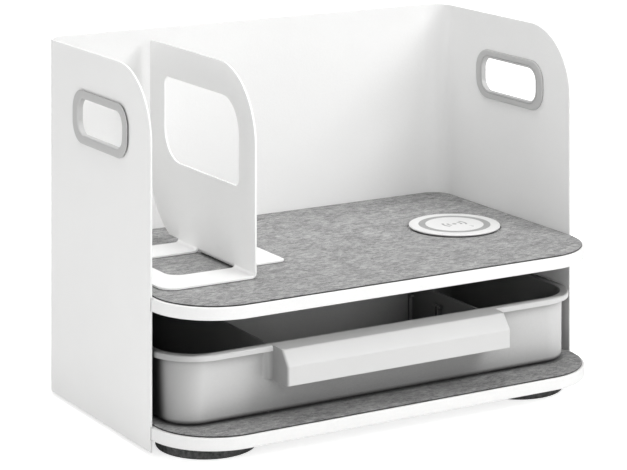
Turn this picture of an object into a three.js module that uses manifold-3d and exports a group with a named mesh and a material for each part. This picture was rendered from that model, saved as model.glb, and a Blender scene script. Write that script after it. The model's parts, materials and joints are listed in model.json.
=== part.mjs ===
// Desk hutch: a bent steel shell that carries two felt-topped shelves, a pull-out tray in the lower bay,
// a bent steel bookend that slides along the upper shelf, and a wireless charger let into that shelf.
//
// Millimetres, +Z up. The origin is on the desk under the middle of the hutch. The open front faces -Y and
// +X is the right-hand side seen from the front.

import * as THREE from 'three';
import { mergeVertices } from 'three/addons/utils/BufferGeometryUtils.js';
import Module from 'manifold-3d';

const wasm = await Module();
wasm.setup();

// ---- Driving dimensions -------------------------------------------------------------------------------

// Fits between separate pieces
const SEAT = 0.05; // two pieces that are fastened or glued together
const FIT = 0.3; // a piece that moves, or drops in beside another

// Overall shell
const WIDTH = 400;
const SIDE_DEPTH = 200; // side panel, front edge to outer back face
const SHELF_OVERHANG = 56; // shelf in front of the side panels
const SHELL_BOTTOM = 3;
const SHELL_TOP = 296;
const SHEET = 1.6; // steel sheet of the shell, the bookend and the brackets
const BEND_RADIUS = 20; // outside radius of the two upright bends
const PANEL_CORNER = 56; // rounded top front corner of each side panel

// Shelves and feet
const FOOT_HEIGHT = 13.3;
const FOOT_RADIUS = 40;
const FOOT_X = 147.5;
const FOOT_Y = 64.5;
const SHELF_THICKNESS = 10;
const SHELF_CORNER = 55.5;
const UPPER_SHELF_TOP = 122.2;
const FELT_THICKNESS = 1.2;
const FELT_INSET = 1;
const FELT_CORNER = 53;

// Hand holes, one in each side panel, with a two-piece plastic grommet
const HAND_Y = 16;
const HAND_Z = 242;
const HAND_OPENING = { length: 82, height: 29.5, corner: 11 };
const GROMMET_WALL = 1.8;
const GROMMET_FLANGE = { length: 101, height: 43.5, corner: 17.5, thickness: 1.8 };

// Wireless charger
const CHARGER_X = 129;
const CHARGER_Y = 0;
const CHARGER_RADIUS = 39.5;
const CHARGER_BARREL = 36.5;
const CHARGER_RISE = 2.4; // above the felt
const CHARGER_BOTTOM = 106;
const CHARGER_SKIN = 1.8;
const LIGHT_RING = { inner: 25.2, outer: 31, depth: 0.6 };
const CHARGER_EDGE = 0.8; // small bevel round the pad's top
const CHARGER_BOSS = { circle: 30.5, radius: 2.6 };
const CHARGER_POST = { circle: 16, radius: 2 };
const CHARGER_BOARD = { bottom: 112, radius: 26, thickness: 1.2 };
const CHARGER_COIL = { inner: 9, outer: 21, thickness: 1.2 };
const CHARGER_FERRITE = { radius: 23, thickness: 0.8 };
const CHARGER_LOCK_RING = { radius: 42, thickness: 3 };
const CHARGER_BASE_THICKNESS = 1.6;

// Cable outlet in the back panel
const OUTLET_Z = 97;
const OUTLET_HOLE = { length: 28, height: 16, corner: 7 };
const OUTLET_WALL = 1.5;
const OUTLET_FLANGE = 3;

// Tray, one moulding with its pull
const TRAY_X = -1.5; // it stands a little to the left in its bay
const TRAY_HALF_WIDTH = 196; // over the rim
const TRAY_FRONT = -103;
const TRAY_BACK = 118;
const TRAY_TOP = 80.4;
const TRAY_RIM = { corner: 40.5, height: 4.5, overhang: 5.7 };
const TRAY_WALL = 1.8;
const TRAY_FLOOR = 2.5;
const TRAY_LEAN = 2.4; // how far each wall leans in from the rim to the floor
const TRAY_FLOOR_CORNER = 27; // the wall's corners tighten towards the floor
const PARTITIONS = [-108.5, 89];
const PARTITION_THICKNESS = 2;
const PARTITION_TOP = 79.8;
const SLOT_YS = [-37.5, 7, 51.5]; // where a cross divider can stand
const SLOT_RIB = { width: 2.4, proud: 3, top: 70 };
const RIB_HEAD = { width: 4.7, height: 2 }; // the wider end that guides a divider in
const DIVIDER_Y = 7;
const DIVIDER_THICKNESS = 2;
const DIVIDER_TOP = 76;

// The pull: a hollow nose that carries the rim's flat top forward, then falls to an upright front
const PULL_LEFT = -109;
const PULL_RIGHT = 100;
const PULL_SHOULDER_Y = -116.5;
const PULL_FRONT = -125.5;
const PULL_NOSE_Z = 68.7;
const PULL_BOTTOM = 53.8;
const PULL_SKIN = 2.2;
const PULL_CORNER = 4;
const PULL_ROOT = 8; // hollow corner where each end meets the tray

// Bookend, one sheet with a tongue cut out of its base and bent the other way
const BOOKEND_X = -105; // left face of the upright
const BOOKEND_FRONT = -66.5;
const BOOKEND_BACK = 118;
const BOOKEND_TOP = 287.7;
const BOOKEND_CORNER = 60;
const BOOKEND_BEND = 4.5;
const BOOKEND_BASE_LEFT = -185;
const BOOKEND_BASE_BACK = 65.5;
const BOOKEND_TONGUE_RIGHT = -56.7;
const BOOKEND_TIP = 4; // the one tight corner, at the top of the back edge
const BOOKEND_WINDOW = { margin: 27, height: 69.5, tight: 6, wide: 28 };
const BOOKEND_BASE_CORNER = 13;
const BASE_WINDOW = { left: -162, front: -32.5, back: 31, corner: 12 };
const TONGUE = { front: -31.7, back: 30.2, corner: 5 };

// Shelf brackets and screws
const BRACKET = { width: 24, reach: 16, drop: 10, hole: 9 };
const SIDE_BRACKET_Y = 0;
const BACK_BRACKET_X = 60;
const SHELF_SCREW = { head: 3.5, headHeight: 2.2, shank: 1.75, length: 8 };
const FOOT_SCREW = { head: 4.5, headHeight: 2.6, shank: 2, length: 13 };
const FOOT_COUNTERBORE = { radius: 6, depth: 6 };
const CHARGER_SCREW = { head: 2.2, headHeight: 1.2, shank: 1.1, length: 7 };

// How finely round stretches are cut: pieces for each rounded corner, and for a full turn
const CORNER_CUTS = 3;
const LARGE_CORNER_CUTS = 5;
const TURN_CUTS = 40;
const SCREW_CUTS = 12;

// ---- Derived places -----------------------------------------------------------------------------------

const SIDE = WIDTH / 2;
const DEPTH = SIDE_DEPTH + SHELF_OVERHANG;
const FRONT = -DEPTH / 2;
const BACK = DEPTH / 2;
const SIDE_FRONT = BACK - SIDE_DEPTH;
const INNER_SIDE = SIDE - SHEET;
const INNER_BACK = BACK - SHEET;
const LOWER_SHELF_TOP = FOOT_HEIGHT + SHELF_THICKNESS;
const UPPER_SHELF_BOTTOM = UPPER_SHELF_TOP - SHELF_THICKNESS;
const UPPER_FELT_TOP = UPPER_SHELF_TOP + FELT_THICKNESS;
const LOWER_FELT_TOP = LOWER_SHELF_TOP + FELT_THICKNESS;
const TRAY_BOTTOM = LOWER_FELT_TOP + FIT;
const BOOKEND_BOTTOM = UPPER_FELT_TOP + FIT;
const CHARGER_TOP = UPPER_FELT_TOP + CHARGER_RISE;

// ---- Materials ----------------------------------------------------------------------------------------

function finish(color, roughness, metalness = 0) {
  return new THREE.MeshStandardMaterial({ color, roughness, metalness });
}

const FINISHES = {
  powderCoat: () => finish(0xf1f1f0, 0.55),
  shelfPaint: () => finish(0xf4f4f3, 0.5),
  felt: () => finish(0x8c8c8c, 0.95),
  greyPlastic: () => finish(0xb4b4b4, 0.5),
  trayPlastic: () => finish(0xcfcfce, 0.45),
  whitePlastic: () => finish(0xf0f0ee, 0.35),
  ringPlastic: () => finish(0xa6a6a6, 0.4),
  footRubber: () => finish(0x4a4a4a, 0.9),
  steel: () => finish(0xb9bbbd, 0.35, 1),
  copper: () => finish(0xb87333, 0.35, 1),
  ferrite: () => finish(0x2b2b2d, 0.7),
  circuitBoard: () => finish(0x1f5a38, 0.6),
};

// ---- Building blocks ----------------------------------------------------------------------------------

const X_AXIS = new THREE.Vector3(1, 0, 0);
const Y_AXIS = new THREE.Vector3(0, 1, 0);
const Z_AXIS = new THREE.Vector3(0, 0, 1);

// A closed outline through corners [u, v, radius]. A radius of 0, or none, leaves the corner sharp.
function outline(corners) {
  const path = new THREE.Shape();
  corners.forEach(([u, v, radius = 0], i) => {
    if (radius === 0) {
      if (i === 0) path.moveTo(u, v);
      else path.lineTo(u, v);
      return;
    }
    const corner = new THREE.Vector2(u, v);
    const [beforeU, beforeV] = corners.at(i - 1);
    const [afterU, afterV] = corners[(i + 1) % corners.length];
    const back = new THREE.Vector2(beforeU, beforeV).sub(corner).normalize();
    const onward = new THREE.Vector2(afterU, afterV).sub(corner).normalize();
    const halfAngle = Math.acos(back.dot(onward)) / 2;
    const start = corner.clone().addScaledVector(back, radius / Math.tan(halfAngle));
    const end = corner.clone().addScaledVector(onward, radius / Math.tan(halfAngle));
    const inwards = back.clone().add(onward).normalize();
    const centre = corner.clone().addScaledVector(inwards, radius / Math.sin(halfAngle));
    const from = start.clone().sub(centre).angle();
    const to = end.clone().sub(centre).angle();
    if (i > 0) path.lineTo(centre.x + radius * Math.cos(from), centre.y + radius * Math.sin(from));
    path.absarc(centre.x, centre.y, radius, from, to, back.cross(onward) > 0);
  });
  path.closePath();
  return path;
}

// A rectangle centred on (u, v) with all four corners rounded.
function roundedRectangle(u, v, length, height, corner) {
  return outline([
    [u - length / 2, v - height / 2, corner],
    [u + length / 2, v - height / 2, corner],
    [u + length / 2, v + height / 2, corner],
    [u - length / 2, v + height / 2, corner],
  ]);
}

// A closed three.js geometry as a solid that can be joined and cut.
function toSolid(geometry) {
  const bare = geometry.clone();
  bare.deleteAttribute('normal');
  bare.deleteAttribute('uv');
  const merged = mergeVertices(bare, 1e-4);
  const corners = merged.index.array;
  const triangles = [];
  for (let i = 0; i < corners.length; i += 3) {
    const [a, b, c] = [corners[i], corners[i + 1], corners[i + 2]];
    if (a !== b && b !== c && c !== a) triangles.push(a, b, c);
  }
  return new wasm.Manifold(new wasm.Mesh({
    numProp: 3,
    vertProperties: new Float32Array(merged.attributes.position.array),
    triVerts: new Uint32Array(triangles),
  }));
}

function toGeometry(solid) {
  const { vertProperties, triVerts } = solid.getMesh();
  const geometry = new THREE.BufferGeometry();
  geometry.setAttribute('position', new THREE.BufferAttribute(vertProperties, 3));
  geometry.setIndex(new THREE.BufferAttribute(triVerts, 1));
  geometry.computeVertexNormals();
  return geometry;
}

function extrude(shape, depth, cuts) {
  return new THREE.ExtrudeGeometry(shape, { depth, bevelEnabled: false, curveSegments: cuts });
}

// An outline drawn in (x, y), filled from z0 up to z1.
function upright(shape, z0, z1, cuts = CORNER_CUTS) {
  return toSolid(extrude(shape, z1 - z0, cuts).translate(0, 0, z0));
}

// An outline drawn in (y, z), filled from x0 across to x1.
function across(shape, x0, x1, cuts = CORNER_CUTS) {
  const turn = new THREE.Matrix4().makeBasis(Y_AXIS, Z_AXIS, X_AXIS);
  return toSolid(extrude(shape, x1 - x0, cuts).applyMatrix4(turn).translate(x0, 0, 0));
}

// An outline drawn in (x, z), filled from y0 back to y1.
function lengthways(shape, y0, y1, cuts = CORNER_CUTS) {
  const turn = new THREE.Matrix4().makeBasis(X_AXIS, Z_AXIS, Y_AXIS.clone().negate());
  return toSolid(extrude(shape, y1 - y0, cuts).applyMatrix4(turn).translate(0, y1, 0));
}

// A block between two opposite corners.
function block(x0, y0, z0, x1, y1, z1) {
  const box = new THREE.BoxGeometry(x1 - x0, y1 - y0, z1 - z0);
  return toSolid(box.translate((x0 + x1) / 2, (y0 + y1) / 2, (z0 + z1) / 2));
}

// A profile [radius, z] turned about an upright axis at (x, y). It runs anticlockwise, from the axis back to
// the axis or round to its own start.
function turned(profile, x = 0, y = 0, cuts = TURN_CUTS) {
  const points = profile.map(([radius, z]) => new THREE.Vector2(radius, z));
  const closesOnAxis = points[0].x === 0;
  if (!closesOnAxis) points.push(points[0].clone());
  const lathe = new THREE.LatheGeometry(points, cuts);
  return toSolid(lathe.rotateX(Math.PI / 2).translate(x, y, 0));
}

function disc(x, y, radius, z0, z1, cuts = TURN_CUTS) {
  return turned([[0, z0], [radius, z0], [radius, z1], [0, z1]], x, y, cuts);
}

function ring(x, y, inner, outer, z0, z1) {
  return turned([[inner, z0], [outer, z0], [outer, z1], [inner, z1]], x, y);
}

// A pan-head screw standing on its head, its underside at z0.
function screw({ head, headHeight, shank, length }, x, y, z0) {
  const shoulder = z0 + headHeight;
  const tip = shoulder + length;
  const profile = [[0, z0], [head, z0], [head, shoulder], [shank, shoulder], [shank, tip], [0, tip]];
  return turned(profile, x, y, SCREW_CUTS);
}

const hutch = new THREE.Group();
const tray = new THREE.Group();
hutch.add(tray);

function add(name, solid, material, parent = hutch) {
  const mesh = new THREE.Mesh(toGeometry(solid), material());
  mesh.name = name;
  parent.add(mesh);
  return mesh;
}

// ---- Shell --------------------------------------------------------------------------------------------

function handHoleOutline(grow) {
  const { length, height, corner } = HAND_OPENING;
  return roundedRectangle(HAND_Y, HAND_Z, length + 2 * grow, height + 2 * grow, corner + grow);
}

function outletOutline(grow) {
  const { length, height, corner } = OUTLET_HOLE;
  return roundedRectangle(CHARGER_X, OUTLET_Z, length + 2 * grow, height + 2 * grow, corner + grow);
}

function frameShell() {
  const plan = outline([
    [-SIDE, SIDE_FRONT],
    [-SIDE, BACK, BEND_RADIUS],
    [SIDE, BACK, BEND_RADIUS],
    [SIDE, SIDE_FRONT],
    [INNER_SIDE, SIDE_FRONT],
    [INNER_SIDE, INNER_BACK, BEND_RADIUS - SHEET],
    [-INNER_SIDE, INNER_BACK, BEND_RADIUS - SHEET],
    [-INNER_SIDE, SIDE_FRONT],
  ]);
  const profile = outline([
    [SIDE_FRONT, SHELL_BOTTOM],
    [BACK + 1, SHELL_BOTTOM],
    [BACK + 1, SHELL_TOP],
    [SIDE_FRONT, SHELL_TOP, PANEL_CORNER],
  ]);
  const bent = upright(plan, SHELL_BOTTOM, SHELL_TOP);
  const cornered = bent.intersect(across(profile, -SIDE - 1, SIDE + 1, LARGE_CORNER_CUTS));
  const handHoles = across(handHoleOutline(GROMMET_WALL + FIT), -SIDE - 1, SIDE + 1);
  const outlet = lengthways(outletOutline(0), INNER_BACK - 1, BACK + 1);
  return cornered.subtract(handHoles).subtract(outlet);
}

// The outer half has the flange and the tube that lines the hole. side is 1 on the right, -1 on the left.
function outerGrommet(side) {
  const { length, height, corner, thickness } = GROMMET_FLANGE;
  const flangeOutline = roundedRectangle(HAND_Y, HAND_Z, length, height, corner);
  const face = SIDE + SEAT + thickness;
  const end = INNER_SIDE - SEAT - thickness;
  const span = (near, far) => [Math.min(side * near, side * far), Math.max(side * near, side * far)];
  const flange = across(flangeOutline, ...span(SIDE + SEAT, face));
  const tube = across(handHoleOutline(GROMMET_WALL), ...span(end, face));
  const opening = across(handHoleOutline(0), ...span(end - 1, face + 1));
  return flange.add(tube).subtract(opening);
}

function innerGrommet(side) {
  const { length, height, corner, thickness } = GROMMET_FLANGE;
  const near = side * (INNER_SIDE - SEAT);
  const far = side * (INNER_SIDE - SEAT - thickness);
  const [low, high] = [Math.min(near, far), Math.max(near, far)];
  const flange = across(roundedRectangle(HAND_Y, HAND_Z, length, height, corner), low, high);
  return flange.subtract(across(handHoleOutline(GROMMET_WALL + SEAT), low - 1, high + 1));
}

function cableOutlet() {
  const flange = lengthways(outletOutline(OUTLET_FLANGE), INNER_BACK - SEAT - OUTLET_WALL, INNER_BACK - SEAT);
  const tube = lengthways(outletOutline(-SEAT), INNER_BACK - SEAT - OUTLET_WALL, BACK - SEAT);
  const opening = lengthways(outletOutline(-OUTLET_WALL), INNER_BACK - 10, BACK + 1);
  return flange.add(tube).subtract(opening);
}

add('frame_shell', frameShell(), FINISHES.powderCoat);
for (const [name, side] of [['left', -1], ['right', 1]]) {
  add(`grommet_${name}_outer`, outerGrommet(side), FINISHES.greyPlastic);
  add(`grommet_${name}_inner`, innerGrommet(side), FINISHES.greyPlastic);
}
add('cable_outlet', cableOutlet(), FINISHES.greyPlastic);

// ---- Shelves, felts, brackets and feet ----------------------------------------------------------------

// Each bracket stands where local +x points away from the panel it is welded to.
const BRACKET_PLACES = [
  ['left', -INNER_SIDE + SEAT, SIDE_BRACKET_Y, 0],
  ['right', INNER_SIDE - SEAT, SIDE_BRACKET_Y, Math.PI],
  ['back_left', -BACK_BRACKET_X, INNER_BACK - SEAT, -Math.PI / 2],
  ['back_right', BACK_BRACKET_X, INNER_BACK - SEAT, -Math.PI / 2],
];

const FOOT_PLACES = [
  ['front_left', -FOOT_X, -FOOT_Y],
  ['front_right', FOOT_X, -FOOT_Y],
  ['rear_left', -FOOT_X, FOOT_Y],
  ['rear_right', FOOT_X, FOOT_Y],
];

function screwSpot([, x, y, turn]) {
  return [x + BRACKET.hole * Math.cos(turn), y + BRACKET.hole * Math.sin(turn)];
}

function shelfBoard(top) {
  const bottom = top - SHELF_THICKNESS;
  const side = INNER_SIDE - FIT;
  const step = SIDE_FRONT - FIT; // the nose is wider than the part between the side panels
  const back = INNER_BACK - FIT;
  const backCorner = BEND_RADIUS - SHEET;
  const plan = outline([
    [-side, back, backCorner],
    [-side, step],
    [-SIDE, step],
    [-SIDE, FRONT, SHELF_CORNER],
    [SIDE, FRONT, SHELF_CORNER],
    [SIDE, step],
    [side, step],
    [side, back, backCorner],
  ]);
  let board = upright(plan, bottom, top, LARGE_CORNER_CUTS);
  for (const place of BRACKET_PLACES) {
    const [x, y] = screwSpot(place);
    const pilotTop = bottom - SHEET + SHELF_SCREW.length + FIT;
    board = board.subtract(disc(x, y, SHELF_SCREW.shank + SEAT, bottom - 1, pilotTop, SCREW_CUTS));
  }
  return board;
}

function upperShelf() {
  const [bottom, top] = [UPPER_SHELF_BOTTOM - 1, UPPER_SHELF_TOP + 1];
  return shelfBoard(UPPER_SHELF_TOP).subtract(disc(CHARGER_X, CHARGER_Y, CHARGER_BARREL + FIT, bottom, top));
}

function lowerShelf() {
  let board = shelfBoard(LOWER_SHELF_TOP);
  for (const [, x, y] of FOOT_PLACES) {
    const pilotTop = FOOT_COUNTERBORE.depth + FOOT_SCREW.length + FIT;
    board = board.subtract(disc(x, y, FOOT_SCREW.shank + SEAT, FOOT_HEIGHT - 1, pilotTop, SCREW_CUTS));
  }
  return board;
}

function feltSheet(shelfTop) {
  const side = INNER_SIDE - FIT - FELT_INSET;
  const backCorner = BEND_RADIUS - SHEET;
  const back = INNER_BACK - FIT - FELT_INSET;
  const plan = outline([
    [-side, FRONT + FELT_INSET, FELT_CORNER],
    [side, FRONT + FELT_INSET, FELT_CORNER],
    [side, back, backCorner],
    [-side, back, backCorner],
  ]);
  return upright(plan, shelfTop + SEAT, shelfTop + FELT_THICKNESS, LARGE_CORNER_CUTS);
}

function upperFelt() {
  const cover = disc(CHARGER_X, CHARGER_Y, CHARGER_RADIUS + FIT, UPPER_SHELF_TOP - 1, UPPER_FELT_TOP + 1);
  return feltSheet(UPPER_SHELF_TOP).subtract(cover);
}

function bracket() {
  const section = outline([
    [0, 0],
    [BRACKET.reach, 0],
    [BRACKET.reach, -SHEET],
    [SHEET, -SHEET],
    [SHEET, -BRACKET.drop],
    [0, -BRACKET.drop],
  ]);
  const angle = lengthways(section, -BRACKET.width / 2, BRACKET.width / 2);
  return angle.subtract(disc(BRACKET.hole, 0, SHELF_SCREW.shank + FIT, -SHEET - 1, 1, SCREW_CUTS));
}

function addBrackets(shelf, shelfBottom) {
  const seat = shelfBottom - SEAT;
  for (const place of BRACKET_PLACES) {
    const [name, x, y, turn] = place;
    const angle = add(`${shelf}_bracket_${name}`, bracket(), FINISHES.powderCoat);
    angle.position.set(x, y, seat);
    angle.rotation.z = turn;
    const [screwX, screwY] = screwSpot(place);
    const headBottom = seat - SHEET - SEAT - SHELF_SCREW.headHeight;
    add(`${shelf}_screw_${name}`, screw(SHELF_SCREW, screwX, screwY, headBottom), FINISHES.steel);
  }
}

function foot(x, y) {
  const edge = 1.2;
  const hole = FOOT_SCREW.shank + FIT;
  const { radius, depth } = FOOT_COUNTERBORE;
  const profile = [
    [radius, 0],
    [FOOT_RADIUS - edge, 0],
    [FOOT_RADIUS, edge],
    [FOOT_RADIUS, FOOT_HEIGHT - SEAT],
    [hole, FOOT_HEIGHT - SEAT],
    [hole, depth],
    [radius, depth],
  ];
  return turned(profile, x, y);
}

add('upper_shelf', upperShelf(), FINISHES.shelfPaint);
add('lower_shelf', lowerShelf(), FINISHES.shelfPaint);
add('upper_felt', upperFelt(), FINISHES.felt);
add('lower_felt', feltSheet(LOWER_SHELF_TOP), FINISHES.felt);
addBrackets('upper', UPPER_SHELF_BOTTOM);
addBrackets('lower', FOOT_HEIGHT);
for (const [name, x, y] of FOOT_PLACES) {
  const headBottom = FOOT_COUNTERBORE.depth - SEAT - FOOT_SCREW.headHeight;
  add(`foot_${name}`, foot(x, y), FINISHES.footRubber);
  add(`foot_screw_${name}`, screw(FOOT_SCREW, x, y, headBottom), FINISHES.steel);
}

// ---- Wireless charger ---------------------------------------------------------------------------------

const BASE_TOP = CHARGER_BOTTOM + CHARGER_BASE_THICKNESS;
const BOSS_ANGLES = [Math.PI / 6, Math.PI * 5 / 6, Math.PI * 3 / 2];
const SOCKET = { width: 9, height: 3.2, length: 11, wall: 0.5, slot: 7, tongue: 0.7 };

function onCircle(radius, angle) {
  return [CHARGER_X + radius * Math.cos(angle), CHARGER_Y + radius * Math.sin(angle)];
}

function chargerCover() {
  const inside = CHARGER_BARREL - CHARGER_SKIN;
  const ceiling = CHARGER_TOP - CHARGER_SKIN;
  let cover = turned([
    [0, ceiling],
    [inside, ceiling],
    [inside, CHARGER_BOTTOM],
    [CHARGER_BARREL, CHARGER_BOTTOM],
    [CHARGER_BARREL, UPPER_SHELF_TOP + SEAT],
    [CHARGER_RADIUS, UPPER_SHELF_TOP + SEAT],
    [CHARGER_RADIUS, CHARGER_TOP - CHARGER_EDGE],
    [CHARGER_RADIUS - CHARGER_EDGE, CHARGER_TOP],
    [0, CHARGER_TOP],
  ], CHARGER_X, CHARGER_Y);
  const groove = [LIGHT_RING.inner, LIGHT_RING.outer, CHARGER_TOP - LIGHT_RING.depth, CHARGER_TOP + 1];
  cover = cover.subtract(ring(CHARGER_X, CHARGER_Y, ...groove));
  for (const angle of BOSS_ANGLES) {
    const [x, y] = onCircle(CHARGER_BOSS.circle, angle);
    const pilotTop = CHARGER_BOTTOM + CHARGER_SCREW.length + FIT;
    cover = cover.add(disc(x, y, CHARGER_BOSS.radius, BASE_TOP + SEAT, ceiling + 0.5, SCREW_CUTS));
    cover = cover.subtract(disc(x, y, CHARGER_SCREW.shank + SEAT, CHARGER_BOTTOM - 1, pilotTop, SCREW_CUTS));
  }
  const halfMouth = SOCKET.width / 2 + FIT;
  const mouthTop = CHARGER_BOARD.bottom + FIT;
  const mouthBottom = CHARGER_BOARD.bottom - SOCKET.height - 2 * FIT;
  const [left, right] = [CHARGER_X - halfMouth, CHARGER_X + halfMouth];
  const mouth = block(left, inside - 5, mouthBottom, right, CHARGER_BARREL + 1, mouthTop);
  return cover.subtract(mouth);
}

function chargerBase() {
  const radius = CHARGER_BARREL - CHARGER_SKIN - FIT;
  let base = disc(CHARGER_X, CHARGER_Y, radius, CHARGER_BOTTOM, BASE_TOP);
  for (const angle of BOSS_ANGLES) {
    const [postX, postY] = onCircle(CHARGER_POST.circle, angle);
    const [x, y] = onCircle(CHARGER_BOSS.circle, angle);
    const postTop = CHARGER_BOARD.bottom - SEAT;
    const post = disc(postX, postY, CHARGER_POST.radius, BASE_TOP - 0.5, postTop, SCREW_CUTS);
    const hole = disc(x, y, CHARGER_SCREW.shank + FIT, CHARGER_BOTTOM - 1, BASE_TOP + 1, SCREW_CUTS);
    base = base.add(post).subtract(hole);
  }
  return base;
}

function usbSocket() {
  const { width, height, length, wall, slot, tongue } = SOCKET;
  const top = CHARGER_BOARD.bottom - SEAT;
  const bottom = top - height;
  const mouth = CHARGER_Y + CHARGER_BARREL - 0.5;
  const shell = block(CHARGER_X - width / 2, mouth - length, bottom, CHARGER_X + width / 2, mouth, top);
  const [left, right] = [CHARGER_X - width / 2 + wall, CHARGER_X + width / 2 - wall];
  const hollow = block(left, mouth - slot, bottom + wall, right, mouth + 1, top - wall);
  const [low, high] = [(top + bottom - tongue) / 2, (top + bottom + tongue) / 2];
  return shell.subtract(hollow).add(block(left + 1, mouth - slot - 1, low, right - 1, mouth - 1, high));
}

function addCharger() {
  const coilTop = CHARGER_TOP - CHARGER_SKIN - SEAT;
  const coilBottom = coilTop - CHARGER_COIL.thickness;
  const ferriteTop = coilBottom - SEAT;
  const ferriteBottom = ferriteTop - CHARGER_FERRITE.thickness;
  const ringTop = CHARGER_TOP - SEAT;
  const ringBottom = CHARGER_TOP - LIGHT_RING.depth + SEAT;
  const boardTop = CHARGER_BOARD.bottom + CHARGER_BOARD.thickness;
  const lockTop = UPPER_SHELF_BOTTOM - SEAT;
  const lockBottom = UPPER_SHELF_BOTTOM - CHARGER_LOCK_RING.thickness;
  const [x, y] = [CHARGER_X, CHARGER_Y];
  const inlay = ring(x, y, LIGHT_RING.inner + SEAT, LIGHT_RING.outer - SEAT, ringBottom, ringTop);
  const coil = ring(x, y, CHARGER_COIL.inner, CHARGER_COIL.outer, coilBottom, coilTop);
  const ferrite = disc(x, y, CHARGER_FERRITE.radius, ferriteBottom, ferriteTop);
  const board = disc(x, y, CHARGER_BOARD.radius, CHARGER_BOARD.bottom, boardTop);
  const lockRing = ring(x, y, CHARGER_BARREL + FIT, CHARGER_LOCK_RING.radius, lockBottom, lockTop);
  add('charger_cover', chargerCover(), FINISHES.whitePlastic);
  add('charger_ring', inlay, FINISHES.ringPlastic);
  add('charger_coil', coil, FINISHES.copper);
  add('charger_ferrite', ferrite, FINISHES.ferrite);
  add('charger_circuit_board', board, FINISHES.circuitBoard);
  add('charger_usb_socket', usbSocket(), FINISHES.steel);
  add('charger_base', chargerBase(), FINISHES.whitePlastic);
  add('charger_lock_ring', lockRing, FINISHES.whitePlastic);
  BOSS_ANGLES.forEach((angle, i) => {
    const [screwX, screwY] = onCircle(CHARGER_BOSS.circle, angle);
    const headBottom = CHARGER_BOTTOM - SEAT - CHARGER_SCREW.headHeight;
    add(`charger_screw_${i + 1}`, screw(CHARGER_SCREW, screwX, screwY, headBottom), FINISHES.steel);
  });
}

addCharger();

// ---- Tray ---------------------------------------------------------------------------------------------

const TRAY_MIDDLE_Y = (TRAY_FRONT + TRAY_BACK) / 2;
const TRAY_HALF_DEPTH = (TRAY_BACK - TRAY_FRONT) / 2;
const LIP_BOTTOM = TRAY_TOP - TRAY_RIM.height;
const FLOOR_TOP = TRAY_BOTTOM + TRAY_FLOOR;

// A tub block whose outline stands in from the rim by inset at the top. Towards the floor it leans in further
// and its corners tighten.
function tubBlock(inset, z0, z1) {
  const halfWidth = TRAY_HALF_WIDTH - inset;
  const halfDepth = TRAY_HALF_DEPTH - inset;
  const corner = TRAY_RIM.corner - inset;
  const floorCorner = TRAY_FLOOR_CORNER - inset + TRAY_RIM.overhang;
  const plan = roundedRectangle(0, 0, 2 * halfWidth, 2 * halfDepth, corner);
  const geometry = extrude(plan, z1 - z0, CORNER_CUTS).translate(0, 0, z0);
  const position = geometry.attributes.position;
  for (let i = 0; i < position.count; i += 1) {
    const down = (TRAY_TOP - position.getZ(i)) / (TRAY_TOP - TRAY_BOTTOM);
    const radius = corner + down * (floorCorner - corner);
    const shift = (value, half) => {
      const alongArc = Math.abs(value) - (half - corner);
      return Math.sign(value) * (half - down * TRAY_LEAN - radius + alongArc * radius / corner);
    };
    position.setX(i, shift(position.getX(i), halfWidth));
    position.setY(i, shift(position.getY(i), halfDepth));
  }
  return toSolid(geometry.translate(TRAY_X, TRAY_MIDDLE_Y, 0));
}

function rim() {
  const [width, depth] = [2 * TRAY_HALF_WIDTH, 2 * TRAY_HALF_DEPTH];
  const plan = roundedRectangle(TRAY_X, TRAY_MIDDLE_Y, width, depth, TRAY_RIM.corner);
  return upright(plan, LIP_BOTTOM, TRAY_TOP);
}

// Ribs in pairs stand on the two partitions' facing sides, and a cross divider drops between each pair.
function slotRibs() {
  const [left, right] = PARTITIONS;
  const half = PARTITION_THICKNESS / 2;
  const gap = DIVIDER_THICKNESS / 2 + FIT;
  const { width, proud, top } = SLOT_RIB;
  const ribs = [];
  for (const y of SLOT_YS) {
    for (const way of [-1, 1]) {
      const near = y + way * gap;
      const far = near + way * width;
      const headFar = near + way * RIB_HEAD.width;
      const spans = [[near, far, FLOOR_TOP - 0.5, top], [near, headFar, top - RIB_HEAD.height, top]];
      for (const [a, b, z0, z1] of spans) {
        const [y0, y1] = [Math.min(a, b), Math.max(a, b)];
        ribs.push(block(left + half - 0.5, y0, z0, left + half + proud, y1, z1));
        ribs.push(block(right - half - proud, y0, z0, right - half + 0.5, y1, z1));
      }
    }
  }
  return ribs;
}

// The pull's outside (inset 0) or its hollow (inset by the skin), rooted in the tray's front wall.
function pullBlock(inset) {
  const root = TRAY_FRONT + TRAY_RIM.overhang;
  const insideWall = root + TRAY_WALL / 2;
  const top = TRAY_TOP - inset;
  const bottom = PULL_BOTTOM - (inset > 0 ? 1 : 0);
  const section = outline([
    [insideWall, bottom],
    [insideWall, top],
    [PULL_SHOULDER_Y + inset / 2, top, 3],
    [PULL_FRONT + inset, PULL_NOSE_Z - inset / 2, 3],
    [PULL_FRONT + inset, bottom],
  ]);
  const [left, right] = [PULL_LEFT + inset, PULL_RIGHT - inset];
  const front = PULL_FRONT + inset;
  const beyond = 20;
  const plan = outline([
    [left - beyond, root],
    [left, root, PULL_ROOT + inset],
    [left, front, PULL_CORNER - inset],
    [right, front, PULL_CORNER - inset],
    [right, root, PULL_ROOT + inset],
    [right + beyond, root],
    [right + beyond, root + TRAY_WALL],
    [left - beyond, root + TRAY_WALL],
  ]);
  const bar = across(section, left - beyond, right + beyond);
  return bar.intersect(upright(plan, bottom - 1, top + 1));
}

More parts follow.
